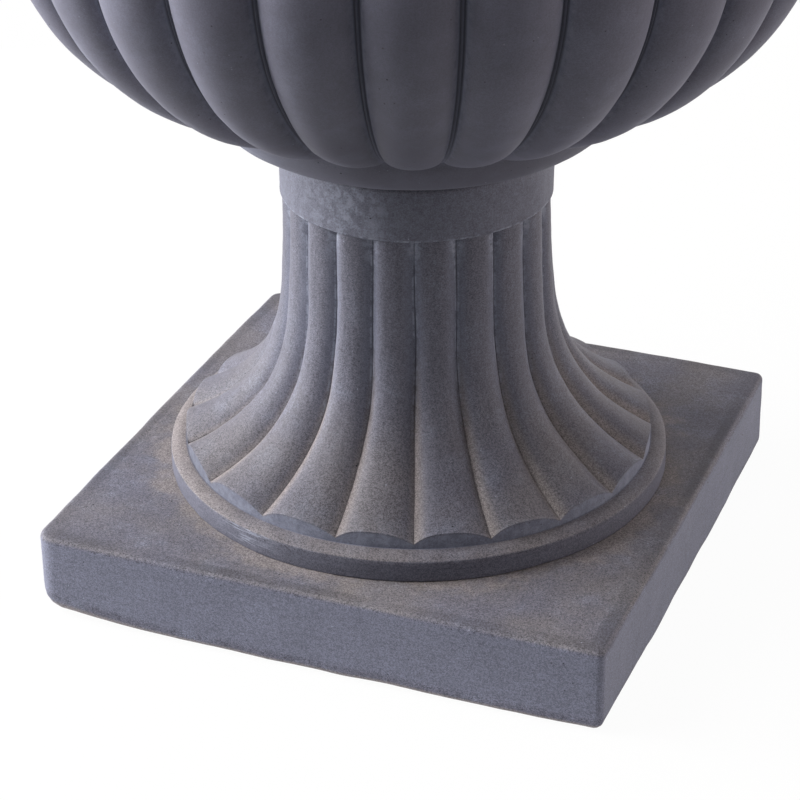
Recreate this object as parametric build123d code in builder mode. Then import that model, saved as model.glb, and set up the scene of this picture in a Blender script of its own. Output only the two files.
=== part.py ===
from build123d import *
from math import cos, radians, sin, sqrt
import os

os.makedirs("parts", exist_ok=True)

# A garden urn cast in three pieces, with its axis on Z and its plinth standing on Z = 0.
# Driving dimensions, in millimetres and degrees.

# Square plinth
plinth_side = 290.0
plinth_height = 44.5
plinth_corner_radius = 6.0
plinth_top_rounding = 3.5
plinth_foot_rounding = 7.0
plinth_recess_radius = 95.0
plinth_recess_depth = 26.0
plinth_opening_radius = 45.0
register_radius = 88.0
register_height = 7.0
register_clearance = 1.5

# Bedding rings in the two joints
base_gasket_thickness = 1.2
neck_gasket_thickness = 1.2
gasket_setback = 1.8

# Reeded pedestal
pedestal_height = 174.9
ring_radius = 126.0
ring_height = 12.3
ring_fall = 2.5
ring_rounding = 1.2
ring_foot_rounding = 0.6
ring_skirt_height = 1.0
ring_skirt_width = 4.0
reed_count = 20
reed_phase = 2.0
reed_foot_radius = 118.0
reed_foot_height = 8.0
reed_neck_radius = 65.4
reed_taper = 4.0
reed_flare_power = 4.6
reed_foot_depth = 9.3
reed_neck_depth = 2.8
collar_radius = 66.5
collar_height = 28.4
collar_rounding = 1.0
core_radius = 48.0
core_knee_radius = 60.0
core_knee_rise = 46.0
core_neck_rise = 80.0

# Gadrooned bowl
bowl_height = 322.0
base_reveal = 0.5
base_fillet_height = 3.0
saucer_edge_radius = 104.0
saucer_bulge = 8.2
bowl_arc_rise = 145.6
bowl_arc_centre = 72.0
bowl_arc_radius = 123.3
lobe_count = 28
lobe_phase = 1.3
lobe_depth = 6.5
lobe_end_depth = 0.4
lobe_tip_angle = -80.0
lobe_top_angle = 15.0
lobe_tip_run = 45.0
lobe_top_run = 14.0
band_height = 4.0
bead_radius = 6.0
bead_inset = 1.5
throat_inset = 18.0
throat_step = 2.0
bell_wall = 16.0
rim_radius = 228.0
rim_lip_radius = 9.0
rim_flat = 14.0
mouth_rounding = 4.0
bowl_wall = 13.5
floor_thickness = 22.0
spigot_radius = 52.8
spigot_length = 10.0
spigot_wall = 6.3
spigot_clearance = 1.2

# Tie rod with its fittings, and the drain plug
rod_radius = 6.0
rod_hole_clearance = 0.8
rod_end_length = 6.0
nut_flats = 19.0
nut_height = 10.0
nut_bore_clearance = 0.2
washer_radius = 20.0
washer_thickness = 3.0
seal_radius = 21.5
seal_thickness = 3.0
bar_length = 150.0
bar_width = 32.0
bar_thickness = 6.0
drain_radius = 9.0
drain_offset = 36.0
plug_clearance = 0.4
plug_length = 18.0
plug_taper = 0.6
plug_flange_radius = 13.0
plug_flange_height = 4.0
plug_grip_radius = 5.0
plug_grip_height = 9.0

# Heights of the joints and edges above the ground
foot_height = plinth_height + base_gasket_thickness
ring_top = foot_height + ring_height
collar_top = foot_height + pedestal_height
collar_foot = collar_top - collar_height
bowl_base = collar_top + neck_gasket_thickness
bowl_centre_height = bowl_base + bowl_arc_rise
bowl_floor = bowl_centre_height - bowl_arc_radius + lobe_depth + bowl_wall
rim_top = bowl_base + bowl_height
recess_roof = plinth_recess_depth
bar_foot = recess_roof - bar_thickness
seal_top = bowl_floor + seal_thickness

# Radii shared by pieces that fit together
foot_bore_radius = register_radius + register_clearance
skirt_bore_radius = ring_radius - ring_skirt_width
socket_radius = spigot_radius + spigot_clearance
bowl_base_radius = collar_radius - base_reveal
rod_hole_radius = rod_radius + rod_hole_clearance


def polar(radius, angle):
    return (radius * cos(radians(angle)), radius * sin(radians(angle)))


def scalloped_section(height, crest, valley, count, phase):
    """A ring of equal convex arcs that meet in valleys, the first valley at the phase angle."""
    pitch = 360 / count
    with BuildSketch(Plane.XY.offset(height)) as section:
        with BuildLine():
            for index in range(count):
                start = phase + index * pitch
                ThreePointArc(
                    polar(valley, start),
                    polar(crest, start + pitch / 2),
                    polar(valley, start + pitch),
                )
        make_face()
    return section.sketch


def reed_section(height):
    """The trumpet's section: the crest flares steeply towards the foot, as the valleys deepen."""
    reed_foot = ring_top + reed_foot_height
    share = (collar_foot - height) / (collar_foot - reed_foot)
    share = max(share, 0)
    flare = reed_foot_radius - reed_neck_radius - reed_taper
    crest = reed_neck_radius + reed_taper * share + flare * share**reed_flare_power
    depth = reed_neck_depth + (reed_foot_depth - reed_neck_depth) * share**4
    return scalloped_section(height, crest, crest - depth, reed_count, reed_phase)


def lobe_section(angle):
    """The bowl's section at this angle of its round profile. The lobes die out at both ends."""
    height = bowl_centre_height + bowl_arc_radius * sin(radians(angle))
    crest = bowl_arc_centre + bowl_arc_radius * cos(radians(angle))
    from_tip = (angle - lobe_tip_angle) / lobe_tip_run
    from_top = (lobe_top_angle - angle) / lobe_top_run
    fullness = min(from_tip, from_top, 1)
    depth = lobe_end_depth + (lobe_depth - lobe_end_depth) * (1 - (1 - fullness) ** 2)
    groove_radius = bowl_arc_radius - depth
    valley = bowl_arc_centre + sqrt(groove_radius**2 - (height - bowl_centre_height) ** 2)
    return scalloped_section(height, crest, valley, lobe_count, lobe_phase)


# Plinth: a rounded square slab, with a low register on top and a recess underneath for the anchor bar
with BuildPart() as plinth:
    with BuildSketch():
        RectangleRounded(plinth_side, plinth_side, plinth_corner_radius)
    extrude(amount=plinth_height)
    fillet(plinth.faces().sort_by(Axis.Z)[-1].edges(), plinth_top_rounding)
    fillet(plinth.faces().sort_by(Axis.Z)[0].edges(), plinth_foot_rounding)
    with BuildSketch(Plane.XY.offset(plinth_height)):
        Circle(register_radius)
    extrude(amount=register_height)
    with BuildSketch():
        Circle(plinth_recess_radius)
    extrude(amount=recess_roof, mode=Mode.SUBTRACT)
    Hole(plinth_opening_radius)
plinth.part.label = "plinth"

# Base gasket: a flat bedding ring between the pedestal's foot and the plinth, hidden behind the ring's skirt
with BuildPart() as base_gasket:
    with BuildSketch(Plane.XY.offset(plinth_height)):
        Circle(skirt_bore_radius - gasket_setback)
        Circle(foot_bore_radius + gasket_setback, mode=Mode.SUBTRACT)
    extrude(amount=base_gasket_thickness)
base_gasket.part.label = "base_gasket"

# Pedestal: convex reeds on a trumpet, cut off square above a ring with a domed top, and a plain collar above
skirt_foot = foot_height - ring_skirt_height
reed_length = collar_foot - ring_top
reed_steps = (-0.015, 0.03, 0.07, 0.13, 0.2, 0.3, 0.45, 0.66, 0.99)
reed_heights = [ring_top + reed_length * step for step in reed_steps]
reed_heights.append(collar_foot + collar_height / 4)
with BuildPart() as pedestal:
    loft(sections=[reed_section(height) for height in reed_heights])
    with BuildSketch(Plane.XZ):
        with Locations((0, foot_height)):
            Rectangle(reed_foot_radius, pedestal_height, align=(Align.MIN, Align.MIN))
    revolve(axis=Axis.Z, mode=Mode.INTERSECT)
    with BuildSketch(Plane.XZ) as ring_profile:
        with BuildLine():
            Polyline(
                (ring_radius, ring_top - ring_fall),
                (ring_radius, skirt_foot),
                (skirt_bore_radius, skirt_foot),
                (skirt_bore_radius, foot_height),
                (0, foot_height),
                (0, ring_top),
                (reed_foot_radius, ring_top),
            )
            TangentArc(
                (reed_foot_radius, ring_top),
                (ring_radius, ring_top - ring_fall),
                tangent=(1, 0),
            )
        make_face()
        outer_corners = ring_profile.vertices().group_by(Axis.X)[-1].sort_by(Axis.Y)
        fillet(outer_corners[1], ring_rounding)
        outer_corners = ring_profile.vertices().group_by(Axis.X)[-1].sort_by(Axis.Y)
        fillet(outer_corners[0], ring_foot_rounding)
    revolve(axis=Axis.Z)
    with BuildSketch(Plane.XZ) as collar_profile:
        with Locations((0, collar_foot)):
            Rectangle(collar_radius, collar_height, align=(Align.MIN, Align.MIN))
        fillet(collar_profile.vertices().group_by(Axis.X)[-1], collar_rounding)
    revolve(axis=Axis.Z)
    with BuildSketch(Plane.XZ):
        with BuildLine():
            socket_foot = collar_top - spigot_length - register_clearance
            Polyline(
                (0, foot_height),
                (foot_bore_radius, foot_height),
                (foot_bore_radius, ring_top),
                (core_knee_radius, foot_height + core_knee_rise),
                (core_radius, foot_height + core_neck_rise),
                (core_radius, socket_foot),
                (socket_radius, socket_foot),
                (socket_radius, collar_top),
                (0, collar_top),
                close=True,
            )
        make_face()
    revolve(axis=Axis.Z, mode=Mode.SUBTRACT)
pedestal.part.label = "pedestal"

# Neck gasket: the bedding ring between the collar and the bowl, set back so that a thin shadow line shows
with BuildPart() as neck_gasket:
    with BuildSketch(Plane.XY.offset(collar_top)):
        Circle(bowl_base_radius - gasket_setback)
        Circle(socket_radius, mode=Mode.SUBTRACT)
    extrude(amount=neck_gasket_thickness)
neck_gasket.part.label = "neck_gasket"

# Bowl: round lobes rising from a plain saucer to a band and bead, then a bell-shaped throat and a rolled rim
lobe_span = lobe_top_angle - lobe_tip_angle
lobe_steps = (0, 0.05, 0.11, 0.19, 0.3, 0.45, 0.63, 0.8, 0.9, 0.96, 1)
lobe_angles = [lobe_tip_angle + lobe_span * step for step in lobe_steps]
lobe_top = bowl_centre_height + bowl_arc_radius * sin(radians(lobe_top_angle))
band_radius = bowl_arc_centre + bowl_arc_radius * cos(radians(lobe_top_angle)) - lobe_end_depth
saucer_foot = bowl_base + base_fillet_height
saucer_edge = bowl_centre_height - sqrt(bowl_arc_radius**2 - (saucer_edge_radius - bowl_arc_centre) ** 2)
saucer_width = saucer_edge_radius - bowl_base_radius
saucer_rise = saucer_edge - saucer_foot
saucer_chord = sqrt(saucer_width**2 + saucer_rise**2)
saucer_middle = (
    bowl_base_radius + saucer_width / 2 + saucer_bulge * saucer_rise / saucer_chord,
    saucer_foot + saucer_rise / 2 - saucer_bulge * saucer_width / saucer_chord,
)
band_top = lobe_top + band_height
bead_centre = (band_radius - bead_inset - bead_radius / 2, band_top + bead_radius)
bead_top = band_top + 2 * bead_radius
throat_radius = band_radius - throat_inset
throat_foot = bead_top + throat_step
lip_centre = (rim_radius - rim_lip_radius, rim_top - rim_lip_radius)
lip_foot = (lip_centre[0] - rim_lip_radius, lip_centre[1] - rim_lip_radius)
mouth_radius = lip_centre[0] - rim_flat
inner_arc_radius = bowl_arc_radius - lobe_depth - bowl_wall
well_radius = bowl_arc_centre + inner_arc_radius
inner_throat = (throat_radius - bell_wall, throat_foot)
with BuildPart() as bowl:
    loft(sections=[lobe_section(angle) for angle in lobe_angles])
    with BuildSketch(Plane.XZ):
        with BuildLine():
            Polyline((0, bowl_base), (bowl_base_radius, bowl_base), (bowl_base_radius, saucer_foot))
            ThreePointArc((bowl_base_radius, saucer_foot), saucer_middle, (saucer_edge_radius, saucer_edge))
            Polyline(
                (saucer_edge_radius, saucer_edge),
                (saucer_edge_radius, bowl_floor),
                (0, bowl_floor),
                (0, bowl_base),
            )
        make_face()
    revolve(axis=Axis.Z)
    with BuildSketch(Plane.XZ):
        with BuildLine():
            Polyline(
                (0, lobe_top - band_height),
                (band_radius, lobe_top - band_height),
                (band_radius, band_top),
                (bead_centre[0], band_top),
            )
            ThreePointArc(
                (bead_centre[0], band_top),
                (bead_centre[0] + bead_radius, bead_centre[1]),
                (bead_centre[0], bead_top),
            )
            Polyline((bead_centre[0], bead_top), (throat_radius, bead_top), (throat_radius, throat_foot))
            TangentArc((throat_radius, throat_foot), lip_foot, tangent=(0, 1))
            Line(lip_foot, (lip_centre[0], lip_foot[1]))
            ThreePointArc(
                (lip_centre[0], lip_foot[1]),
                (rim_radius, lip_centre[1]),
                (lip_centre[0], rim_top),
            )
            Polyline((lip_centre[0], rim_top), (0, rim_top), (0, lobe_top - band_height))
        make_face()
    revolve(axis=Axis.Z)
    with BuildSketch(Plane.XY.offset(bowl_base)):
        Circle(spigot_radius)
    extrude(amount=-spigot_length)
    with BuildSketch(Plane.XZ):
        with BuildLine():
            Polyline((0, rim_top), (0, bowl_floor), (bowl_arc_centre, bowl_floor))
            RadiusArc(
                (bowl_arc_centre, bowl_floor),
                (well_radius, bowl_centre_height),
                -inner_arc_radius,
            )
            Line((well_radius, bowl_centre_height), inner_throat)
            TangentArc(inner_throat, (mouth_radius, rim_top), tangent=(0, 1))
            Line((mouth_radius, rim_top), (0, rim_top))
        make_face()
    revolve(axis=Axis.Z, mode=Mode.SUBTRACT)
    rim_edges = bowl.edges().filter_by(GeomType.CIRCLE).group_by(Axis.Z)[-1]
    fillet(rim_edges.sort_by(SortBy.RADIUS)[0], mouth_rounding)
    with BuildSketch(Plane.XY.offset(bowl_base - spigot_length)):
        Circle(spigot_radius - spigot_wall)
    extrude(amount=bowl_floor - floor_thickness - bowl_base + spigot_length, mode=Mode.SUBTRACT)
    with Locations((0, 0, bowl_floor)):
        Hole(rod_hole_radius)
    with Locations((drain_offset, 0, bowl_floor)):
        Hole(drain_radius)
bowl.part.label = "bowl"

# Sealing washer: soft ring that keeps water out of the rod's hole
with BuildPart() as sealing_washer:
    with BuildSketch(Plane.XY.offset(bowl_floor)):
        Circle(seal_radius)
        Circle(rod_hole_radius, mode=Mode.SUBTRACT)
    extrude(amount=seal_thickness)
sealing_washer.part.label = "sealing_washer"

# Anchor bar: flat steel across the plinth's opening, up against the roof of the recess
with BuildPart() as anchor_bar:
    with BuildSketch(Plane.XY.offset(bar_foot)):
        RectangleRounded(bar_length, bar_width, bar_thickness)
        Circle(rod_hole_radius, mode=Mode.SUBTRACT)
    extrude(amount=bar_thickness)
anchor_bar.part.label = "anchor_bar"

# Plate washers: one on the seal in the bowl, one under the anchor bar
washer_feet = (seal_top, bar_foot - washer_thickness)
with BuildPart() as tie_washers:
    for washer_foot in washer_feet:
        with BuildSketch(Plane.XY.offset(washer_foot)):
            Circle(washer_radius)
            Circle(rod_hole_radius, mode=Mode.SUBTRACT)
        extrude(amount=washer_thickness)
tie_washers.part.label = "tie_washers"

# Hexagon nuts that draw the three castings together
nut_feet = (washer_feet[0] + washer_thickness, washer_feet[1] - nut_height)
with BuildPart() as tie_nuts:
    for nut_foot in nut_feet:
        with BuildSketch(Plane.XY.offset(nut_foot)):
            RegularPolygon(nut_flats / 2, 6, major_radius=False)
            Circle(rod_radius + nut_bore_clearance, mode=Mode.SUBTRACT)
        extrude(amount=nut_height)
tie_nuts.part.label = "tie_nuts"

# Tie rod: from below the lower nut to above the upper one
rod_foot = nut_feet[1] - rod_end_length / 2
rod_top = nut_feet[0] + nut_height + rod_end_length
with BuildPart() as tie_rod:
    with BuildSketch(Plane.XY.offset(rod_foot)):
        Circle(rod_radius)
    extrude(amount=rod_top - rod_foot)
    chamfer(tie_rod.edges(), rod_radius / 6)
tie_rod.part.label = "tie_rod"

# Drain plug: tapered rubber stopper with a flange on the bowl's floor and a grip to pull it by
plug_top_radius = drain_radius - plug_clearance
with BuildPart() as drain_plug:
    with BuildSketch(Plane.XZ.move(Location((drain_offset, 0, 0)))):
        with BuildLine():
            Polyline(
                (0, bowl_floor - plug_length),
                (plug_top_radius - plug_taper, bowl_floor - plug_length),
                (plug_top_radius, bowl_floor),
                (plug_flange_radius, bowl_floor),
                (plug_flange_radius, bowl_floor + plug_flange_height),
                (plug_grip_radius, bowl_floor + plug_flange_height),
                (plug_grip_radius, bowl_floor + plug_flange_height + plug_grip_height),
                (0, bowl_floor + plug_flange_height + plug_grip_height),
                close=True,
            )
        make_face()
    revolve(axis=Axis((drain_offset, 0, 0), (0, 0, 1)))
drain_plug.part.label = "drain_plug"

for piece in (
    plinth,
    base_gasket,
    pedestal,
    neck_gasket,
    bowl,
    sealing_washer,
    anchor_bar,
    tie_washers,
    tie_nuts,
    tie_rod,
    drain_plug,
):
    export_step(piece.part, f"parts/{piece.part.label}.step")
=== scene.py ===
from math import atan2, cos, pi, radians, sin, sqrt

import bpy
import numpy as np
from bpy.props import (
    FloatProperty,
    FloatVectorProperty,
    IntProperty,
    PointerProperty,
)
from mathutils import Matrix, Vector


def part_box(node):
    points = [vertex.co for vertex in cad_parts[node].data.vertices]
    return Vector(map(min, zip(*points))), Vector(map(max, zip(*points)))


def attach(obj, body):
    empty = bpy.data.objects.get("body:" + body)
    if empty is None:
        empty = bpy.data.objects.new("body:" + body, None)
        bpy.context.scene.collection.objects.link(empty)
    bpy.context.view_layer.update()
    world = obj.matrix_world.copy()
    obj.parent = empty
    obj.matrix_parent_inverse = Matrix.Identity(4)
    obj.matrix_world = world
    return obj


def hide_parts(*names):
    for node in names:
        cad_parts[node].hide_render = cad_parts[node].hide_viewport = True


bl_info = {
    "name": "Garden urn",
    "version": (1, 0, 0),
    "blender": (4, 5, 0),
    "location": "View3D > Sidebar > Urn",
    "description": "Dresses a garden urn of three stone castings on a tie rod, with its drain plug",
    "category": "Object",
}

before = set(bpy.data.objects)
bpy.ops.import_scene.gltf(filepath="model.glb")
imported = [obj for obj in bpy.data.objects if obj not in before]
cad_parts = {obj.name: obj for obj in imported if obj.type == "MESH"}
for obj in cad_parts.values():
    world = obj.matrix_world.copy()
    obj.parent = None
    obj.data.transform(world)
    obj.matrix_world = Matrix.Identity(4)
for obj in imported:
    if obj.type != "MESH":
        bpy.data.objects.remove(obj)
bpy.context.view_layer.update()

MM = 0.001
MERGE_DISTANCE = 0.005 * MM
FULL_TURN = 2 * pi

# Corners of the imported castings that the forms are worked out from
PLINTH_LOW, PLINTH_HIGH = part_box("plinth")
PEDESTAL_LOW, PEDESTAL_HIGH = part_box("pedestal")
BOWL_LOW, BOWL_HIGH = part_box("bowl")
BASE_RING_LOW, BASE_RING_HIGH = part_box("base_gasket")
NECK_RING_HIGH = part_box("neck_gasket")[1]
# Radius of the hole for the tie rod in the bowl, the washers and the anchor bar
ROD_HOLE = 6.8 * MM


def linear(hex_colour):
    """Turns an sRGB hex value such as 5c5c63 into linear red, green and blue."""
    parts = [int(hex_colour[place:place + 2], 16) / 255 for place in (0, 2, 4)]
    return tuple(part / 12.92 if part <= 0.04045 else ((part + 0.055) / 1.055) ** 2.4 for part in parts)


# Sizes and colours that a user would change


def length(name, description, millimetres):
    return FloatProperty(
        name=name, description=description, default=millimetres * MM, unit="LENGTH", precision=5
    )


def colour(name, description, hex_colour):
    return FloatVectorProperty(
        name=name,
        description=description,
        default=linear(hex_colour),
        subtype="COLOR",
        size=3,
        min=0,
        max=1,
    )


def angle(name, description, degrees):
    return FloatProperty(name=name, description=description, default=radians(degrees), subtype="ANGLE")


class UrnStone(bpy.types.PropertyGroup):
    """Colours of the cast stone."""

    charcoal: colour("Charcoal", "Colour of the casting", "676776")
    shade: colour("Shade", "Darker clouds in the pigment", "60606e")
    # Bare stone also paints a highlight on the saucer's side towards the left lamps and on the upper reeds'
    # flanks
    bare: colour("Bare", "Sawn and upright faces that no dust has reached", "757889")
    dust: colour("Dust", "Dry dust that lies on the upper faces", "77706b")
    # Settled dust also paints the highlight on each reed's left flank and on the ring's top towards the
    # left lamps
    settled: colour("Settled", "Thicker dust along the valleys and round the ring", "908785")
    # Bloom also paints a sheen along the lobes' edges and a highlight on the saucer's side towards the left
    # lamps
    bloom: colour("Bloom", "Pale lime bloom on rubbed edges", "a3a8b8")
    # This dark colour paints real staining in valleys, cracks and pin holes, and painted shade in the
    # bowl's channels, under the lobes and the saucer, on the ring's side, on the arches towards the left
    # lamps and at the collar's joint with the bowl
    stain_and_shade: colour("Stain", "Dark line where two faces meet in a valley", "2b2b30")


class UrnBowl(bpy.types.PropertyGroup):
    """Sizes of the gadrooned bowl."""

    lobes: IntProperty(name="Lobes", description="Number of round lobes", default=28, min=3)
    phase: angle("Phase", "Angle of the first groove from the X axis", 1.3)
    lobe_depth: length("Lobe depth", "How deep the grooves go between the lobes", 8.0)
    lobe_end_depth: length("Lobe end depth", "What is left of a groove where it runs out", 0.4)
    belly_centre: length("Belly centre", "Radius at which the round of the belly is struck", 72.0)
    belly_radius: length("Belly radius", "Radius of the round of the belly", 124.5)
    belly_rise: length("Belly rise", "Height of the centre of that round above the foot", 145.6)
    foot_radius: length("Foot radius", "Radius of the foot that stands on the collar", 66.0)
    foot_height: length("Foot height", "Height of the straight edge of the foot", 3.0)
    saucer_radius: length("Saucer radius", "Radius at which the saucer meets the lobes", 104.0)
    saucer_bulge: length("Saucer bulge", "How far the saucer swells out from a straight cone", 8.2)
    tip_rounding: length("Tip rounding", "Radius of the corners of a lobe's lower end", 8.5)
    nose_depth: length("Nose depth", "How far the lower end of a lobe stands over the saucer", 1.2)
    nose_run: length("Nose run", "Length over which that end rounds off", 3.0)
    wall: length("Wall", "Thickness of the wall behind a groove", 13.2)
    floor: length("Floor", "Thickness of the floor", 22.0)


class UrnPedestal(bpy.types.PropertyGroup):
    """Sizes of the reeded pedestal."""

    reeds: IntProperty(name="Reeds", description="Number of convex reeds", default=20, min=3)
    phase: angle("Phase", "Angle of the first valley from the X axis", 2.0)
    drift: angle("Drift", "How far the valleys on one side stray from even spacing at the foot", 6.0)
    ring_height: length("Ring height", "Height of the round-edged ring at the foot", 12.3)
    ring_fall: length("Ring fall", "Fall of the ring's domed top from the reeds to its edge", 2.5)
    ring_rounding: length("Ring rounding", "Radius of the ring's upper edge", 1.2)
    skirt_width: length("Skirt width", "Width of the ring's rim that hides the gasket", 4.0)
    reed_foot_radius: length("Reed foot radius", "Radius at which the reeds are cut off", 118.0)
    reed_foot_height: length("Reed foot height", "Height of the cut above the ring", 8.0)
    reed_neck_radius: length("Reed neck radius", "Radius over the reeds under the collar", 65.4)
    reed_taper: length("Reed taper", "Even spread of the reeds from neck to foot", 4.0)
    reed_foot_depth: length("Reed foot depth", "Depth of the valleys at the foot", 10.2)
    reed_neck_depth: length("Reed neck depth", "Depth of the valleys at the neck", 2.8)
    collar_radius: length("Collar radius", "Radius of the plain collar", 66.5)
    collar_height: length("Collar height", "Height of the plain collar", 28.4)


class UrnPlinth(bpy.types.PropertyGroup):
    """Sizes of the square plinth."""

    top_rounding: length("Top rounding", "Radius of the upper edges", 3.0)
    foot_rounding: length("Foot rounding", "Radius of the lower edges", 6.5)
    corner_wear: length("Corner wear", "Extra rounding of the lower edge at the worn left corner", 7.0)
    left_corner: length("Left corner", "Radius of the worn left corner", 10.0)
    front_corner: length("Front corner", "Radius of the sharp front corner", 3.5)
    right_corner: length("Right corner", "Radius of the right corner", 5.5)
    back_corner: length("Back corner", "Radius of the back corner", 7.0)
    swell: length("Swell", "How far the middle of each side stands proud", 0.7)


class UrnStage(bpy.types.PropertyGroup):
    """Camera, floor and light."""

    camera_place: FloatVectorProperty(
        name="Camera place",
        description="Where the camera stands",
        default=(0.42090, -1.08169, 0.70557),
        subtype="TRANSLATION",
        unit="LENGTH",
    )
    heading: angle("Heading", "Turn of the camera about the upright", 21.7233)
    pitch: angle("Pitch", "How far the camera looks down", 28.5655)
    roll: angle("Roll", "Tilt of the camera's horizon", -0.621)
    focal_length: FloatProperty(
        name="Focal length", description="Lens, in millimetres on a 36 mm frame", default=117.154, min=10
    )
    paper: colour("Paper", "Colour of the pale floor", "eeeeec")
    paper_width: length("Paper width", "Width of the pale floor", 1400)
    paper_front: length("Paper front", "How far the pale floor reaches towards the camera", 360)
    paper_back: length("Paper back", "How far the pale floor reaches away from the camera", 750)


# Modelling


def deselect():
    if bpy.context.object and bpy.context.object.mode != "OBJECT":
        bpy.ops.object.mode_set(mode="OBJECT")
    bpy.ops.object.select_all(action="DESELECT")


def pick(piece):
    """Makes this the only selected object, and the active one."""
    deselect()
    piece.select_set(True)
    bpy.context.view_layer.objects.active = piece


def clean(piece, smooth_angle=40):
    """Closes the seams, turns the faces outwards and shades the piece smooth up to an angle."""
    pick(piece)
    bpy.ops.object.mode_set(mode="EDIT")
    bpy.ops.mesh.select_all(action="SELECT")
    bpy.ops.mesh.remove_doubles(threshold=MERGE_DISTANCE)
    bpy.ops.mesh.dissolve_degenerate(threshold=MERGE_DISTANCE)
    bpy.ops.mesh.normals_make_consistent(inside=False)
    bpy.ops.object.mode_set(mode="OBJECT")
    bpy.ops.object.shade_smooth_by_angle(angle=radians(smooth_angle))


def apply_modifier(piece, kind, **settings):
    """Adds a modifier with these settings and applies it."""
    pick(piece)
    modifier = piece.modifiers.new(kind.lower(), kind)
    for setting, value in settings.items():
        setattr(modifier, setting, value)
    bpy.ops.object.modifier_apply(modifier=modifier.name)


def cut(piece, tool, operation="DIFFERENCE"):
    """Cuts the piece with a tool, which is used up."""
    apply_modifier(piece, "BOOLEAN", object=tool, operation=operation, solver="EXACT")
    bpy.data.objects.remove(tool)


def uneven(piece, grain, height):
    """Gives a cast surface soft lumps of this size and height."""
    clouds = bpy.data.textures.new(piece.name + "_lumps", "CLOUDS")
    clouds.noise_scale = grain
    clouds.noise_depth = 2
    apply_modifier(
        piece, "DISPLACE", texture=clouds, strength=2 * height, mid_level=0.5, texture_coords="LOCAL"
    )


def wrapped_grid(name, bands, marks):
    """Adds a grid and bends it into a closed form, given as rows of points round the axis.

    Bands holds the points by row, column and axis. Marks holds each attribute's values by row and column.
    """
    rows, columns = bands.shape[0] - 1, bands.shape[1] - 1
    deselect()
    bpy.ops.mesh.primitive_grid_add(x_subdivisions=columns, y_subdivisions=rows, size=1)
    piece = bpy.context.object
    piece.name = piece.data.name = name
    flat = np.empty(len(piece.data.vertices) * 3, np.float32)
    piece.data.vertices.foreach_get("co", flat)
    flat = flat.reshape(-1, 3)
    column = np.rint((flat[:, 0] + 0.5) * columns).astype(int)
    row = np.rint((flat[:, 1] + 0.5) * rows).astype(int)
    piece.data.vertices.foreach_set("co", bands[row, column].astype(np.float32).ravel())
    for mark, values in marks.items():
        attribute = piece.data.attributes.new(mark, "FLOAT", "POINT")
        attribute.data.foreach_set("value", values[row, column].astype(np.float32))
    piece.data.update()
    clean(piece)
    return piece


def straight(start, end, steps):
    """Points by radius and height from the start up to the end, which the next band starts with."""
    share = np.linspace(0, 1, steps, endpoint=False)[:, None, None]
    return np.asarray(start) * (1 - share) + np.asarray(end) * share


def rounded(centre, radius, start, end, steps):
    """Points by radius and height on an arc, from one angle in degrees up to another."""
    turn = np.radians(np.linspace(start, end, steps, endpoint=False))[:, None]
    return np.stack([centre[0] + radius * np.cos(turn), centre[1] + radius * np.sin(turn)], axis=-1)


def upright_arc(foot, top, steps):
    """Points on the arc that leaves its foot upright and ends at the top."""
    rise = top[1] - foot[1]
    spread = top[0] - foot[0]
    radius = (spread**2 + rise**2) / (2 * spread)
    height = np.linspace(0, rise, steps, endpoint=False)[:, None]
    return np.stack([foot[0] + radius - np.sqrt(radius**2 - height**2), foot[1] + height], axis=-1)


def closed_rows(bands, columns):
    """Joins bands of radius and height into one outline that ends where it starts."""
    rows = np.concatenate([np.broadcast_to(band, (band.shape[0], columns + 1, 2)) for band in bands])
    return np.concatenate([rows, rows[:1]])


def round_the_axis(rows, turn):
    """Turns rows of radius and height into points, one column for each angle."""
    return np.stack([rows[..., 0] * np.cos(turn), rows[..., 0] * np.sin(turn), rows[..., 1]], axis=-1)


def quarter_round(values):
    """Rises from 0 to 1 over a quarter of a circle, and stays there."""
    return np.sqrt(1 - (1 - np.minimum(values, 1)) ** 2)


def oval(values, reach):
    """Falls from 0 at the crest of an oval to 1, over this share of its half width."""
    return (1 - np.sqrt(1 - (reach * values) ** 2)) / (1 - sqrt(1 - reach**2))


def ease(low, high, values):
    """Rises smoothly from 0 at low to 1 at high."""
    share = np.clip((values - low) / (high - low), 0, 1)
    return share * share * (3 - 2 * share)


def near(bearing, centre, reach):
    """1 at the centre, fading out to nothing past about twice the reach on either side, all in degrees."""
    return np.exp(-(((bearing - centre) / reach) ** 2))


def turned(name, outline, columns=72, centre=(0, 0)):
    """Spins a closed outline of radius and height into a ring or a solid."""
    deselect()
    mesh = bpy.data.meshes.new(name)
    count = len(outline)
    edges = [(place, (place + 1) % count) for place in range(count)]
    mesh.from_pydata([(radius, 0, height) for radius, height in outline], edges, [])
    piece = bpy.data.objects.new(name, mesh)
    bpy.context.scene.collection.objects.link(piece)
    pick(piece)
    bpy.ops.object.mode_set(mode="EDIT")
    bpy.ops.mesh.select_all(action="SELECT")
    bpy.ops.mesh.spin(steps=columns, angle=FULL_TURN, center=(0, 0, 0), axis=(0, 0, 1), use_auto_merge=True)
    bpy.ops.object.mode_set(mode="OBJECT")
    clean(piece)
    if centre != (0, 0):
        piece.data.transform(Matrix.Translation((*centre, 0)))
    return piece


def soft_rectangle(inner, outer, low, high, rounding, steps=4):
    """A closed outline of radius and height with its outer corners rounded."""
    quarter = [radians(90 * step / steps) for step in range(steps + 1)]
    lower = [(outer - rounding + rounding * sin(a), low + rounding - rounding * cos(a)) for a in quarter]
    upper = [(outer - rounding + rounding * cos(a), high - rounding + rounding * sin(a)) for a in quarter]
    return [(inner, low), *lower, *upper, (inner, high)]


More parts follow.
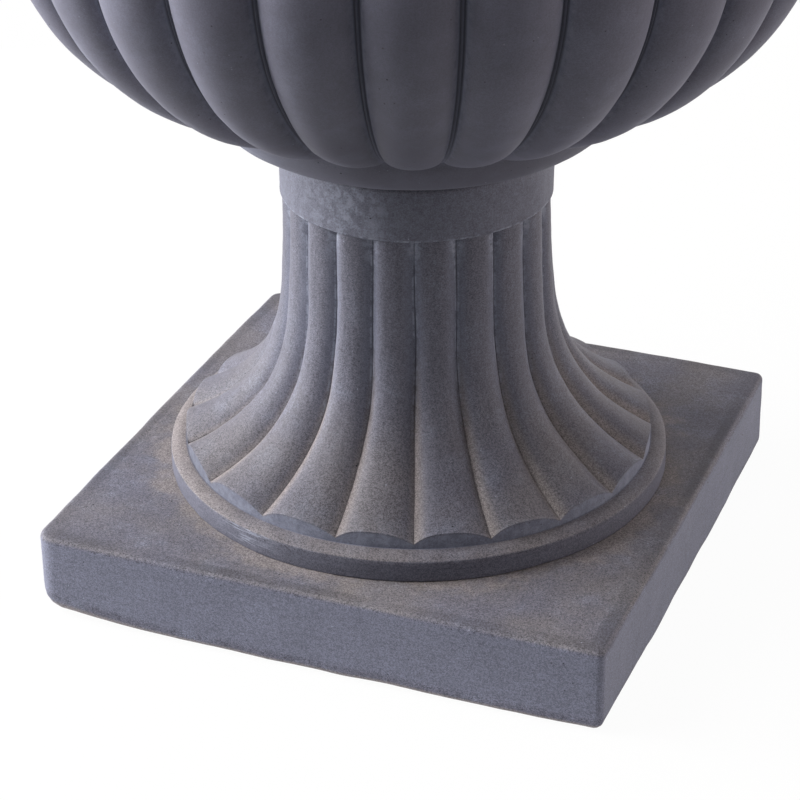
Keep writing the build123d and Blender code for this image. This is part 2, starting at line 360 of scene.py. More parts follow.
def cylinder(radius, low, high, sides=64, centre=(0, 0)):
    """A plain cylinder between two heights, to cut with or to shape further."""
    deselect()
    bpy.ops.mesh.primitive_cylinder_add(
        vertices=sides, radius=radius, depth=high - low, location=(*centre, (low + high) / 2)
    )
    tool = bpy.context.object
    bpy.ops.object.transform_apply(location=True)
    return tool


def hand_over(piece, material, slot, body, *nodes):
    """Gives a finished piece its material and body, in place of the nodes that it stands for. Its slot is
    not used.
    """
    piece.data.materials.clear()
    piece.data.materials.append(material)
    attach(piece, body)
    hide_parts(*nodes)


# Materials


def new_material(name):
    material = bpy.data.materials.new(name)
    material.use_nodes = True
    tree = material.node_tree
    return material, tree, tree.nodes["Principled BSDF"]


SMOOTH = {"interpolation_type": "SMOOTHSTEP"}


def add(tree, kind, inputs=None, output=0, **settings):
    """Adds a node with its settings, and a link or a value for each named or numbered input.

    It gives back the named or numbered output.
    """
    node = tree.nodes.new(kind)
    for setting, value in settings.items():
        setattr(node, setting, value)
    for socket, value in (inputs or {}).items():
        if isinstance(value, bpy.types.NodeSocket):
            tree.links.new(value, node.inputs[socket])
        else:
            node.inputs[socket].default_value = value
    return node.outputs[output]


def spots(tree, place, spacing, radius, share):
    """Round spots of this radius, in this share of the cells of a random pattern."""
    away = add(tree, "ShaderNodeTexVoronoi", {"Vector": place, "Scale": 1 / spacing}, "Distance")
    reach = radius / spacing
    spot = add(tree, "ShaderNodeMapRange", {0: away, 1: 0.5 * reach, 2: reach, 3: 1.0, 4: 0.0}, **SMOOTH)
    chance = add(tree, "ShaderNodeSeparateXYZ", {0: away.node.outputs["Color"]})
    drawn = add(tree, "ShaderNodeMath", {0: chance, 1: share}, operation="LESS_THAN")
    return add(tree, "ShaderNodeMath", {0: spot, 1: drawn}, operation="MULTIPLY")


MARKS = ("hollow", "arris", "settled", "bare", "turned")
TINTS = ("charcoal", "shade", "bare", "dust", "settled", "bloom", "stain_and_shade")
# Sand is finer than this: the grains are drawn as coarse as they need to show
GRAIN_SIZE = 0.45 * MM


def cast_stone(name, film, dust, contrast, relief, tone=1.0, halo_radius=0.0):
    """Charcoal cast stone: cement and stone dust, pressed in a mould and rubbed down by hand.

    It gives a satin grey with soft clouds, fine grit, brush strokes, pin holes from trapped air, and dust
    on what faces up. Film and dust are shares of cover, contrast is how far the grit departs from the mean,
    relief is the depth of the grit and tone lightens the whole. The marks on the casting add stains and
    painted shade, bloom and painted highlights, settled dust and bare faces that in places also paint
    highlights, and level strokes. With a halo radius, dust lies round a ring of that size.
    """
    stone = bpy.context.scene.urn_stone
    tints = {key: (*getattr(stone, key), 1) for key in TINTS}
    material, tree, shader = new_material(name)
    mark = {key: add(tree, "ShaderNodeAttribute", output="Fac", attribute_name=key) for key in MARKS}
    place = add(tree, "ShaderNodeTexCoord", output="Object")
    normal = add(tree, "ShaderNodeNewGeometry", output="Normal")
    upward = add(tree, "ShaderNodeSeparateXYZ", {0: normal}, 2)
    upright = add(tree, "ShaderNodeVectorMath", {0: place, 1: (1, 1, 0.1)}, operation="MULTIPLY")
    level = add(tree, "ShaderNodeVectorMath", {0: place, 1: (0.08, 0.08, 1)}, operation="MULTIPLY")

    # Each soft pattern: what it follows, the size of its lumps, its detail and its roughness
    patterns = {
        "clouds": (place, 26 * MM, 5.0, 0.6),
        "smears": (place, 18 * MM, 6.0, 0.65),
        "drift": (place, 50 * MM, 4.0, 0.5),
        "upright_strokes": (upright, 1.2 * MM, 2.0, 0.6),
        "level_strokes": (level, 1.2 * MM, 2.0, 0.6),
        "patches": (place, 5 * MM, 7.0, 0.75),
        "scratches": (level, 0.9 * MM, 3.0, 0.6),
        "clusters": (place, 30 * MM, 2.0, 0.6),
    }
    soft = {}
    for key, (follows, size, detail, roughness) in patterns.items():
        inputs = {"Vector": follows, "Scale": 1 / size, "Detail": detail, "Roughness": roughness}
        soft[key] = add(tree, "ShaderNodeTexNoise", inputs, "Fac")

    # Pigment, bare faces and dust
    clouds = add(tree, "ShaderNodeMapRange", {0: soft["clouds"], 1: 0.34, 2: 0.66}, **SMOOTH)
    inputs = {0: clouds, 6: tints["shade"], 7: tints["charcoal"]}
    tint = add(tree, "ShaderNodeMix", inputs, 2, data_type="RGBA")
    inputs = {0: soft["smears"], 1: 0.46, 2: 0.68, 4: 0.15 + 0.7 * contrast}
    smears = add(tree, "ShaderNodeMapRange", inputs, **SMOOTH)
    bared = add(tree, "ShaderNodeMath", {0: mark["bare"], 1: smears}, operation="MAXIMUM")
    lying = add(tree, "ShaderNodeMapRange", {0: upward, 1: 0.1, 2: 0.9}, **SMOOTH)
    inputs = {0: soft["drift"], 1: 0.34, 2: 0.66, 3: 0.35 * dust, 4: 1.1 * dust}
    drift = add(tree, "ShaderNodeMapRange", inputs, **SMOOTH)
    kept = add(tree, "ShaderNodeMapRange", {0: mark["bare"], 3: 1.0, 4: 0.2}, **SMOOTH)
    fallen = add(tree, "ShaderNodeMapRange", {0: lying, 3: film, 4: drift}, **SMOOTH)
    dusty = add(tree, "ShaderNodeMath", {0: fallen, 1: kept}, operation="MULTIPLY")
    layers = [(bared, "bare"), (dusty, "dust"), (mark["settled"], "settled")]
    if halo_radius:
        start, end = halo_radius - 2 * MM, halo_radius + 15 * MM
        stray, stray_size = 9 * MM, 22 * MM
        flat = add(tree, "ShaderNodeVectorMath", {0: place, 1: (1, 1, 0)}, operation="MULTIPLY")
        reach = add(tree, "ShaderNodeVectorMath", {0: flat}, "Value", operation="LENGTH")
        inputs = {"Vector": place, "Scale": 1 / stray_size, "Detail": 4.0, "Roughness": 0.6}
        lumps = add(tree, "ShaderNodeTexNoise", inputs, "Fac")
        ragged = add(tree, "ShaderNodeMapRange", {0: lumps, 1: 0.3, 2: 0.7, 3: -stray, 4: stray}, **SMOOTH)
        reach = add(tree, "ShaderNodeMath", {0: reach, 1: ragged}, operation="ADD")
        ring = add(tree, "ShaderNodeMapRange", {0: reach, 1: start, 2: end, 3: 0.65, 4: 0.0}, **SMOOTH)
        halo = add(tree, "ShaderNodeMath", {0: ring, 1: lying}, operation="MULTIPLY")
        layers.insert(1, (halo, "settled"))
    for cover, over in layers:
        tint = add(tree, "ShaderNodeMix", {0: cover, 6: tint, 7: tints[over]}, 2, data_type="RGBA")

    # Grit and brush strokes, calmer on bare faces
    inputs = {0: mark["turned"], 3: soft["upright_strokes"], 4: soft["level_strokes"]}
    strokes = add(tree, "ShaderNodeMapRange", inputs, **SMOOTH)
    strokes = add(tree, "ShaderNodeMath", {0: strokes, 1: 0.4}, operation="MULTIPLY")
    grains = add(tree, "ShaderNodeTexVoronoi", {"Vector": place, "Scale": 1 / GRAIN_SIZE}, "Color")
    grit = add(tree, "ShaderNodeSeparateXYZ", {0: grains})
    grain = add(tree, "ShaderNodeMath", {0: grit, 1: 0.6, 2: strokes}, operation="MULTIPLY_ADD")
    calm = add(tree, "ShaderNodeMapRange", {0: mark["bare"], 3: 1.0, 4: 0.4}, **SMOOTH)
    grain = add(tree, "ShaderNodeMath", {0: grain, 1: 0.5}, operation="SUBTRACT")
    grain = add(tree, "ShaderNodeMath", {0: grain, 1: calm, 2: 0.5}, operation="MULTIPLY_ADD")
    darkest, lightest = tone * (1 - contrast), tone * (1 + contrast)
    shading = add(tree, "ShaderNodeMapRange", {0: grain, 3: darkest, 4: lightest})
    tint = add(tree, "ShaderNodeVectorMath", {0: tint, "Scale": shading}, operation="SCALE")

    # Bloom on rubbed edges and painted highlights, stains and painted shade, crumbs and pin holes
    patchy = add(tree, "ShaderNodeMapRange", {0: soft["patches"], 1: 0.42, 2: 0.6}, **SMOOTH)
    scratches = add(tree, "ShaderNodeMapRange", {0: soft["scratches"], 1: 0.48, 2: 0.6}, **SMOOTH)
    worn = add(tree, "ShaderNodeMapRange", {0: mark["turned"], 3: patchy, 4: scratches}, **SMOOTH)
    rubbed = add(tree, "ShaderNodeMath", {0: mark["arris"], 1: worn}, operation="MULTIPLY")
    cluster = add(tree, "ShaderNodeMapRange", {0: soft["clusters"], 1: 0.45, 2: 0.6, 4: 0.8}, **SMOOTH)
    scattered = spots(tree, place, 4 * MM, 0.4 * MM, 0.25)
    crumbs = add(tree, "ShaderNodeMath", {0: scattered, 1: cluster}, operation="MULTIPLY")
    crowded = spots(tree, place, 5 * MM, 0.5 * MM, 0.6)
    pores = add(tree, "ShaderNodeMath", {0: crowded, 1: cluster}, operation="MULTIPLY")
    single = spots(tree, place, 11 * MM, 0.6 * MM, 0.3)
    pits = add(tree, "ShaderNodeMath", {0: single, 1: pores}, operation="MAXIMUM")
    for cover, over in ((rubbed, "bloom"), (mark["hollow"], "stain_and_shade"), (crumbs, "bloom"), (pits, "stain_and_shade")):
        tint = add(tree, "ShaderNodeMix", {0: cover, 6: tint, 7: tints[over]}, 2, data_type="RGBA")

    roughness = add(tree, "ShaderNodeMapRange", {0: grain, 1: 0.2, 2: 0.8, 3: 0.52, 4: 0.7}, **SMOOTH)
    height = add(tree, "ShaderNodeMath", {0: grain, 1: pits}, operation="SUBTRACT")
    bump = add(tree, "ShaderNodeBump", {"Height": height, "Strength": 1.0, "Distance": relief})
    for socket, value in (("Base Color", tint), ("Roughness", roughness), ("Normal", bump)):
        tree.links.new(value, shader.inputs[socket])
    shader.inputs["Specular IOR Level"].default_value = 0.18
    return material


def moulded_rubber():
    """Black moulded rubber: matt, with a faint grey bloom and fine mould texture."""
    material, tree, shader = new_material("black_moulded_rubber")
    place = add(tree, "ShaderNodeTexCoord", output="Object")
    bloom_size = 6 * MM
    inputs = {"Vector": place, "Scale": 1 / bloom_size, "Detail": 4.0}
    bloom = add(tree, "ShaderNodeTexNoise", inputs, "Fac")
    black, grey = (*linear("1c1c1e"), 1), (*linear("303033"), 1)
    tint = add(tree, "ShaderNodeMix", {0: bloom, 6: black, 7: grey}, 2, data_type="RGBA")
    texture_size = 0.6 * MM
    inputs = {"Vector": place, "Scale": 1 / texture_size, "Detail": 2.0}
    texture = add(tree, "ShaderNodeTexNoise", inputs, "Fac")
    bump = add(tree, "ShaderNodeBump", {"Height": texture, "Strength": 0.2, "Distance": 0.1 * MM})
    tree.links.new(tint, shader.inputs["Base Color"])
    tree.links.new(bump, shader.inputs["Normal"])
    shader.inputs["Roughness"].default_value = 0.65
    return material


def zinc_plate():
    """Zinc-plated steel: bright, cool and cloudy, dulled by damp."""
    material, tree, shader = new_material("zinc_plated_steel")
    place = add(tree, "ShaderNodeTexCoord", output="Object")
    cloud_size = 5 * MM
    inputs = {"Vector": place, "Scale": 1 / cloud_size, "Detail": 5.0}
    clouds = add(tree, "ShaderNodeTexNoise", inputs, "Fac")
    grey, white = (*linear("a3a5a8"), 1), (*linear("cfd0d0"), 1)
    tint = add(tree, "ShaderNodeMix", {0: clouds, 6: grey, 7: white}, 2, data_type="RGBA")
    dull = add(tree, "ShaderNodeMapRange", {0: clouds, 3: 0.28, 4: 0.5})
    tree.links.new(tint, shader.inputs["Base Color"])
    tree.links.new(dull, shader.inputs["Roughness"])
    shader.inputs["Metallic"].default_value = 1.0
    return material


# Castings


# Half a lobe from crest to groove, as shares of its width: columns, channel and round of the pillow
LOBE_COLUMNS = (0, 0.2, 0.4, 0.57, 0.71, 0.81, 0.875, 0.915, 0.955)
CHANNEL_SHARE = 0.095
CHANNEL_FLOOR = 0.055
PILLOW_ROUND = 0.96
# Shares of a groove's depth that the pillow falls by and the ridge in the channel rises by
PILLOW_SHARE = 0.84
RIDGE_SHARE = 0.1
# Degrees up the round of the belly at which the lobes end, and over which their grooves run out
LOBE_TIP = -80
LOBE_TOP = 15
LOBE_TIP_RUN = 45
LOBE_TOP_RUN = 14
LOBE_ROWS = 78
# Bearings in degrees of the saucer's side that is painted lighter towards the left lamps, and of the lobes
# with painted shade underneath
SAUCER_LIT_SIDE = 222
LOBES_SHADED = 284


def half_columns(shares):
    """Places across one repeat, from -1 in one valley to 1 in the next, without the last."""
    rising = [-share for share in reversed((*shares, 1))]
    return np.array(rising + list(shares[1:]))


def bowl_bands(bowl):
    """Rows of points of the bowl, with the marks of its grooves and worn edges."""
    across = half_columns(LOBE_COLUMNS)
    pitch = FULL_TURN / bowl.lobes
    within = pitch * (across + 1) / 2
    turn = np.concatenate([bowl.phase + pitch * lobe + within for lobe in range(bowl.lobes)])
    turn = np.append(turn, bowl.phase + FULL_TURN)
    columns = len(turn) - 1
    share = np.abs(np.append(np.tile(across, bowl.lobes), -1))

    base = NECK_RING_HIGH.z
    centre = (bowl.belly_centre, base + bowl.belly_rise)
    rim_top = BOWL_HIGH.z
    rim_radius = BOWL_HIGH.x
    spigot_foot = BOWL_LOW.z
    inner_radius = bowl.belly_radius - bowl.lobe_depth - bowl.wall
    floor_top = centre[1] - inner_radius
    floor_low = floor_top - bowl.floor
    saucer_foot = base + bowl.foot_height
    tip_angle = -np.degrees(np.arccos((bowl.saucer_radius - bowl.belly_centre) / bowl.belly_radius))
    saucer_reach = bowl.belly_radius - bowl.nose_depth
    saucer_radius = centre[0] + saucer_reach * cos(radians(tip_angle))
    saucer_edge = centre[1] + saucer_reach * sin(radians(tip_angle))

    # Outline of the saucer: an arc that swells out from the straight line between its ends
    width = saucer_radius - bowl.foot_radius
    rise = saucer_edge - saucer_foot
    chord = sqrt(width**2 + rise**2)
    saucer_arc = (chord**2 / 4 + bowl.saucer_bulge**2) / (2 * bowl.saucer_bulge)
    back = saucer_arc - bowl.saucer_bulge
    saucer_centre = (
        bowl.foot_radius + width / 2 - back * rise / chord,
        saucer_foot + rise / 2 + back * width / chord,
    )
    start = np.degrees(atan2(saucer_foot - saucer_centre[1], bowl.foot_radius - saucer_centre[0]))
    end = np.degrees(atan2(saucer_edge - saucer_centre[1], saucer_radius - saucer_centre[0]))

    # Lobes: round pillows with a narrow channel between them, and finger tips at their lower end
    climb = np.linspace(0, 1, LOBE_ROWS, endpoint=False)[:, None] ** 1.6
    along = tip_angle + (LOBE_TOP - tip_angle) * climb
    from_ends = np.minimum((along - LOBE_TIP) / LOBE_TIP_RUN, (LOBE_TOP - along) / LOBE_TOP_RUN)
    fullness = np.minimum(from_ends, 1)
    groove = bowl.lobe_end_depth + (bowl.lobe_depth - bowl.lobe_end_depth) * (1 - (1 - fullness) ** 2)
    from_tip = np.radians(along - tip_angle) * bowl.belly_radius
    half_pitch = bowl.saucer_radius * pi / bowl.lobes
    tip = 1 - quarter_round(from_tip / bowl.tip_rounding)
    lobe_width = 1 - CHANNEL_SHARE - tip * bowl.tip_rounding / half_pitch
    pillow = PILLOW_SHARE * oval(np.minimum(share / lobe_width, 1), PILLOW_ROUND)
    channel_edge = lobe_width + CHANNEL_SHARE - CHANNEL_FLOOR
    channel = (1 - PILLOW_SHARE) * ease(lobe_width * 0.99, channel_edge, share)
    ridge = RIDGE_SHARE * ease(1 - CHANNEL_FLOOR, 1, share) * (1 - tip)
    nose = bowl.nose_depth * (1 - quarter_round(from_tip / bowl.nose_run))
    radius = bowl.belly_radius - nose - groove * (pillow + channel - ridge)
    lobes = np.stack(
        [
            centre[0] + radius * np.cos(np.radians(along)),
            centre[1] + radius * np.sin(np.radians(along)),
        ],
        axis=-1,
    )

    # Band, bead, throat and rolled rim above the lobes
    band_foot = centre[1] + bowl.belly_radius * sin(radians(LOBE_TOP))
    band_radius = centre[0] + bowl.belly_radius * cos(radians(LOBE_TOP)) - bowl.lobe_end_depth
    band_top = band_foot + 4 * MM
    bead_radius = 6 * MM
    bead_centre = (band_radius - 4.5 * MM, band_top + bead_radius)
    throat = (band_radius - 18 * MM, band_top + 2 * bead_radius + 2 * MM)
    lip_radius = 9 * MM
    lip_centre = (rim_radius - lip_radius, rim_top - lip_radius)
    lip_foot = (lip_centre[0] - lip_radius, lip_centre[1] - lip_radius)
    mouth = (lip_centre[0] - 14 * MM, rim_top)
    mouth_rounding = 4 * MM
    inner_throat = (throat[0] - 16 * MM, throat[1])
    well = (centre[0] + inner_radius, centre[1])
    spigot = 52.8 * MM
    spigot_bore = 46.5 * MM
    inside = upright_arc(inner_throat, mouth, 14)[::-1]
    bands = [
        straight((ROD_HOLE, floor_low), (spigot_bore, floor_low), 2),
        straight((spigot_bore, floor_low), (spigot_bore, spigot_foot), 1),
        straight((spigot_bore, spigot_foot), (spigot, spigot_foot), 1),
        straight((spigot, spigot_foot), (spigot, base), 1),
        straight((spigot, base), (bowl.foot_radius, base), 2),
        straight((bowl.foot_radius, base), (bowl.foot_radius, saucer_foot), 4),
        rounded(saucer_centre, saucer_arc, start, end, 14),
        lobes,
        straight((band_radius, band_foot), (band_radius, band_top), 4),
        straight((band_radius, band_top), (bead_centre[0], band_top), 2),
        rounded(bead_centre, bead_radius, -90, 90, 10),
        straight((bead_centre[0], band_top + 2 * bead_radius), (throat[0], throat[1] - 2 * MM), 3),
        straight((throat[0], throat[1] - 2 * MM), throat, 1),
        upright_arc(throat, lip_foot, 18),
        straight(lip_foot, (lip_centre[0], lip_foot[1]), 3),
        rounded(lip_centre, lip_radius, -90, 90, 12),
        straight((lip_centre[0], rim_top), (mouth[0] + mouth_rounding, rim_top), 3),
        inside[inside[..., 1][:, 0] < rim_top - mouth_rounding / 2],
        straight(inner_throat, well, 4),
        rounded(centre, inner_radius, 0, -90, 16),
        straight((centre[0], floor_top), (ROD_HOLE, floor_top), 4),
    ]
    rows = closed_rows(bands, columns)
    first_lobe = sum(band.shape[0] for band in bands[:7])

    # Marks of the lobes: channels darkened with dirt and painted shade, worn edges with a painted sheen,
    # worn tips, and painted shade under the lobes at the front
    bearing = np.degrees(turn)
    hollow, arris, bare = np.zeros((3, *rows.shape[:2]))
    lobe = slice(first_lobe, first_lobe + LOBE_ROWS)
    deep = groove / bowl.lobe_depth
    past_edge = share - lobe_width
    # The channels are darkened with dirt and with painted shade
    channel_dirt_and_shade = ease(0, 0.04, past_edge) * (1 - 0.4 * ease(0.97, 1, share))
    # Painted shade under the lower ends of the lobes at the front
    underside = 1 - ease(40 * MM, 110 * MM, from_tip)
    shaded = 0.42 * near(bearing, LOBES_SHADED, 18) * (1 - channel_dirt_and_shade) * underside
    hollow[lobe] = np.maximum(0.8 * deep * channel_dirt_and_shade, shaded)
    bare[lobe] = 0.8 * deep * ease(-0.03, 0.01, past_edge)
    # Pale lines along the lobes' edges: worn stone and a painted sheen
    edge = ease(-0.07, -0.01, past_edge) * (1 - ease(0, 0.03, past_edge))
    corner = (1 - ease(2 * MM, 14 * MM, from_tip)) * ease(0, 0.05, past_edge)
    rim = (1 - ease(1 * MM, 3 * MM, from_tip)) * (1 - ease(-0.05, 0, past_edge))
    arris[lobe] = 0.4 * edge + 0.3 * corner + 0.25 * rim

    # Marks of the foot's straight edge and of the saucer, which has painted shade underneath and a painted
    # highlight on its side towards the left lamps
    first_foot = sum(band.shape[0] for band in bands[:5])
    first_saucer = first_foot + bands[5].shape[0]
    foot_edge = slice(first_foot, first_saucer)
    saucer = slice(first_saucer, first_lobe)
    # rubbed is the saucer's side towards the left lamps: bare stone and bloom paint a highlight there, and
    # the dark mark paints shade on the rest
    rubbed = near(bearing, SAUCER_LIT_SIDE, 28)
    bare[foot_edge] = 0.6
    hollow[saucer] = 0.36 * (1 - rubbed)
    bare[saucer] = rubbed
    arris[saucer] = 0.35 * rubbed
    return round_the_axis(rows, turn), {"hollow": hollow, "arris": arris, "bare": bare}


class URN_OT_bowl(bpy.types.Operator):
    """Models the gadrooned bowl, with its drain hole."""

    bl_idname = "urn.bowl"
    bl_label = "Bowl"

    def execute(self, context):
        bands, marks = bowl_bands(context.scene.urn_bowl)
        bowl = wrapped_grid("bowl_casting", bands, marks)
        uneven(bowl, 60 * MM, 0.5 * MM)
        uneven(bowl, 16 * MM, 0.15 * MM)
        plug_low, plug_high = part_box("drain_plug")
        drain_radius = 9 * MM
        drain_place = ((plug_low.x + plug_high.x) / 2, (plug_low.y + plug_high.y) / 2)
        cut(bowl, cylinder(drain_radius, plug_low.z - 10 * MM, plug_high.z, 48, drain_place))
        clean(bowl)
        stone = cast_stone(
            "charcoal_cast_stone_rubbed", film=0.06, dust=0.2, contrast=0.2, relief=0.03 * MM, tone=1.34
        )
        hand_over(bowl, stone, "cast_stone", "urn", "bowl")
        return {"FINISHED"}


# Half a reed from crest to valley, as shares of its width
REED_COLUMNS = (0, 0.12, 0.24, 0.36, 0.48, 0.59, 0.69, 0.78, 0.86, 0.925, 0.97, 0.99)
REED_ROWS = 96
ARCH_ROWS = 6
# How steeply the trumpet flares, the valleys deepen and a reed's flank falls, and how far crests lean
FLARE_POWER = 4.6
VALLEY_POWER = 2.3
REED_POWER = 2.6
REED_LEAN = 0.1
# Degrees by which a valley wanders to and fro on its way down
WANDER = 0.35
# Bearings in degrees of the stray valleys, the pale stretch of collar and the scuffed stretch of ring
# The stray valleys lie towards the left lamps, so their bearing also places painted shade on the arches and
# a painted highlight on the ring's top
DRIFT_CENTRE = 205
DRIFT_REACH = 80
BLOOM_CENTRE = 262
SCUFF_CENTRE = 252
CRACKED_VALLEY = 12


def reed_radius(pedestal, height, neck, foot, share):
    """Radius of the reeded trumpet at a height, at this share of the way from crest to valley."""
    fall = (neck - height) / (neck - foot)
    flare = pedestal.reed_foot_radius - pedestal.reed_neck_radius - pedestal.reed_taper
    crest = pedestal.reed_neck_radius + pedestal.reed_taper * fall + flare * fall**FLARE_POWER
    deepening = pedestal.reed_foot_depth - pedestal.reed_neck_depth
    depth = pedestal.reed_neck_depth + deepening * fall**VALLEY_POWER
    return crest - depth * share**REED_POWER


def pedestal_bands(pedestal):
    """Rows of points of the pedestal, with the marks of its valleys and worn edges."""
    across = half_columns(REED_COLUMNS)
    pitch = FULL_TURN / pedestal.reeds
    within = pitch * (across + 1) / 2
    turn = np.concatenate([pedestal.phase + pitch * reed + within for reed in range(pedestal.reeds)])
    turn = np.append(turn, pedestal.phase + FULL_TURN)
    columns = len(turn) - 1
    leaning = across + REED_LEAN * (1 - across**2)
    share = np.abs(np.append(np.tile(leaning, pedestal.reeds), -1))

    foot = BASE_RING_HIGH.z
    skirt_foot = PEDESTAL_LOW.z
    top = PEDESTAL_HIGH.z
    ring_radius = PEDESTAL_HIGH.x
    ring_top = foot + pedestal.ring_height
    neck = top - pedestal.collar_height
    reed_foot = ring_top + pedestal.reed_foot_height
    rounding = pedestal.ring_rounding
    foot_rounding = 0.6 * MM
    collar_rounding = 1 * MM

    # The ring's domed top, and the small round where it meets the upright side
    dome_width = ring_radius - pedestal.reed_foot_radius
    dome = (dome_width**2 + pedestal.ring_fall**2) / (2 * pedestal.ring_fall)
    dome_centre = (pedestal.reed_foot_radius, ring_top - dome)
    edge_drop = sqrt((dome - rounding) ** 2 - (dome_width - rounding) ** 2)
    edge_centre = (ring_radius - rounding, dome_centre[1] + edge_drop)
    edge_angle = np.degrees(atan2(edge_drop, dome_width - rounding))

    # Where the reeds are cut off upright: a row of arches, found by halving the height between two bounds
    low = np.full(share.shape, ring_top)
    high = np.full(share.shape, neck)
    for _ in range(40):
        middle = (low + high) / 2
        outside = reed_radius(pedestal, middle, neck, reed_foot, share) > pedestal.reed_foot_radius
        low = np.where(outside, middle, low)
        high = np.where(outside, high, middle)
    arch = low
    lift = np.linspace(0, 1, ARCH_ROWS, endpoint=False)[:, None]
    arches = np.stack(
        [
            np.full((ARCH_ROWS, columns + 1), pedestal.reed_foot_radius),
            ring_top + (arch - ring_top) * lift,
        ],
        axis=-1,
    )
    climb = np.linspace(0, 1, REED_ROWS)[:, None] ** 1.35
    height = arch + (neck - arch) * climb
    reeds = np.stack([reed_radius(pedestal, height, neck, reed_foot, share), height], axis=-1)

    # Collar, and the hollow core under its socket
    collar = pedestal.collar_radius
    seam_top = neck + 2 * MM
    socket = 54 * MM
    socket_foot = top - 11.5 * MM
    core = 48 * MM
    core_neck = foot + 80 * MM
    knee = (60 * MM, foot + 46 * MM)
    bore = 89.5 * MM
    skirt_bore = ring_radius - pedestal.skirt_width
    bands = [
        straight((bore, foot), (skirt_bore, foot), 4),
        straight((skirt_bore, foot), (skirt_bore, skirt_foot), 1),
        straight((skirt_bore, skirt_foot), (ring_radius - foot_rounding, skirt_foot), 1),
        rounded((ring_radius - foot_rounding, skirt_foot + foot_rounding), foot_rounding, -90, 0, 3),
        straight((ring_radius, skirt_foot + foot_rounding), (ring_radius, edge_centre[1]), 6),
        rounded(edge_centre, rounding, 0, edge_angle, 5),
        rounded(dome_centre, dome, edge_angle, 90, 8),
        arches,
        reeds,
        straight((collar - collar_rounding, neck), (collar - collar_rounding, neck), 1),
        rounded((collar - collar_rounding, neck + collar_rounding), collar_rounding, -90, 0, 3),
        straight((collar, neck + collar_rounding), (collar, seam_top), 2),
        straight((collar, seam_top), (collar, top - collar_rounding), 10),
        rounded((collar - collar_rounding, top - collar_rounding), collar_rounding, 0, 90, 3),
        straight((collar - collar_rounding, top), (socket, top), 3),
        straight((socket, top), (socket, socket_foot), 3),
        straight((socket, socket_foot), (core, socket_foot), 1),
        straight((core, socket_foot), (core, core_neck), 6),
        straight((core, core_neck), knee, 4),
        straight(knee, (bore, ring_top), 4),
        straight((bore, ring_top), (bore, foot), 2),
    ]
    rows = closed_rows(bands, columns)
    first_arch = sum(band.shape[0] for band in bands[:7])
    first_reed = first_arch + ARCH_ROWS
    first_collar = first_reed + REED_ROWS
    last_collar = first_collar + sum(band.shape[0] for band in bands[9:13])

    # The mould was cut by hand: on one side the valleys stray from even spacing towards the foot
    fall = np.zeros((rows.shape[0], columns + 1))
    fall[:first_reed] = 1
    fall[first_reed:first_collar] = (neck - height) / (neck - reed_foot)
    fall[-1] = 1
    bearing = np.degrees(turn)
    stray = np.clip((bearing - DRIFT_CENTRE) / DRIFT_REACH, -1, 1)
    drift = -pedestal.drift * np.cos(stray * pi / 2) ** 2 * fall**5
    wander = radians(WANDER) * np.sin(7 * turn + 9 * fall) * np.sin(pi * np.minimum(fall, 1))

    # Marks of the reeds: valleys darkened with dirt and painted shade, with a crack, dust thicker on each
    # reed's left flank where it also paints a highlight, and worn edges
    marks = {mark: np.zeros(rows.shape[:2]) for mark in MARKS}
    reed = slice(first_reed, first_collar)
    valley = np.rint((turn - pedestal.phase) / pitch)
    crack = (valley == CRACKED_VALLEY) * ease(0.78, 0.84, fall[reed]) * ease(0.97, 0.99, share)
    spread = ease(0.45, 0.95, fall[reed])
    # Valleys: a dark line of dirt and painted shade, weaker towards the foot, and the crack in one valley
    marks["hollow"][reed] = np.maximum((0.6 - 0.35 * spread) * ease(0.97, 1, share), crack)
    # Dust lies thicker on each reed's left flank; there the settled colour also paints the highlight of the
    # flank that faces the left lamps
    left_flank = np.append(np.tile(across < 0, pedestal.reeds), True)
    dusty = np.where(left_flank, 0.8 * ease(0.55, 0.95, share), 0.45 * ease(0.82, 0.97, share))
    marks["settled"][reed] = ease(0.35, 0.8, fall[reed]) * dusty
    # The upper reeds' flanks are painted paler: bare stone that is also a painted highlight
    marks["bare"][reed] = (1 - spread) * (0.25 + 0.5 * ease(0.35, 0.85, share))
    beside = ease(0.88, 0.95, share) * (1 - ease(0.96, 0.99, share))
    valley_top = ease(neck - 18 * MM, neck - 2 * MM, height) * ease(0.5, 0.95, share)
    marks["arris"][reed] = np.maximum(0.9 * valley_top, 0.8 * (1 - spread) * beside)
    marks["arris"][first_reed:first_reed + 2] = 0.12

    # Marks of the arches and the collar
    arch_rows = slice(first_arch, first_reed)
    collar_rows = slice(first_collar, last_collar)
    left_lamp_side = near(bearing, DRIFT_CENTRE, 40)
    marks["bare"][arch_rows] = 1
    marks["arris"][arch_rows] = 0.25
    # Painted shade on the arches on the side towards the left lamps
    marks["hollow"][arch_rows] = 0.5 * left_lamp_side
    marks["bare"][collar_rows] = 0.55
    marks["turned"][collar_rows] = 0.2
    marks["arris"][collar_rows] = 0.1 + 0.4 * near(bearing, BLOOM_CENTRE, 18)
    marks["arris"][first_collar:first_collar + 5] = 0.8
    # Painted shade: a dark line along the collar's top edge, at its joint with the bowl
    marks["hollow"][last_collar:last_collar + 3] = 0.6

    # Marks of the ring: painted shade on its side, its scuffed edge, and its dusty top with a painted
    # highlight towards the left lamps
    ring_edge = sum(band.shape[0] for band in bands[:5])
    # Painted shade on the ring's upright side
    marks["hollow"][:ring_edge] = 0.1
    marks["bare"][:ring_edge] = 0.4
    marks["turned"][:first_arch] = 1
    marks["arris"][ring_edge - 4:ring_edge + 3] = 0.7 * near(bearing, SCUFF_CENTRE, 6)
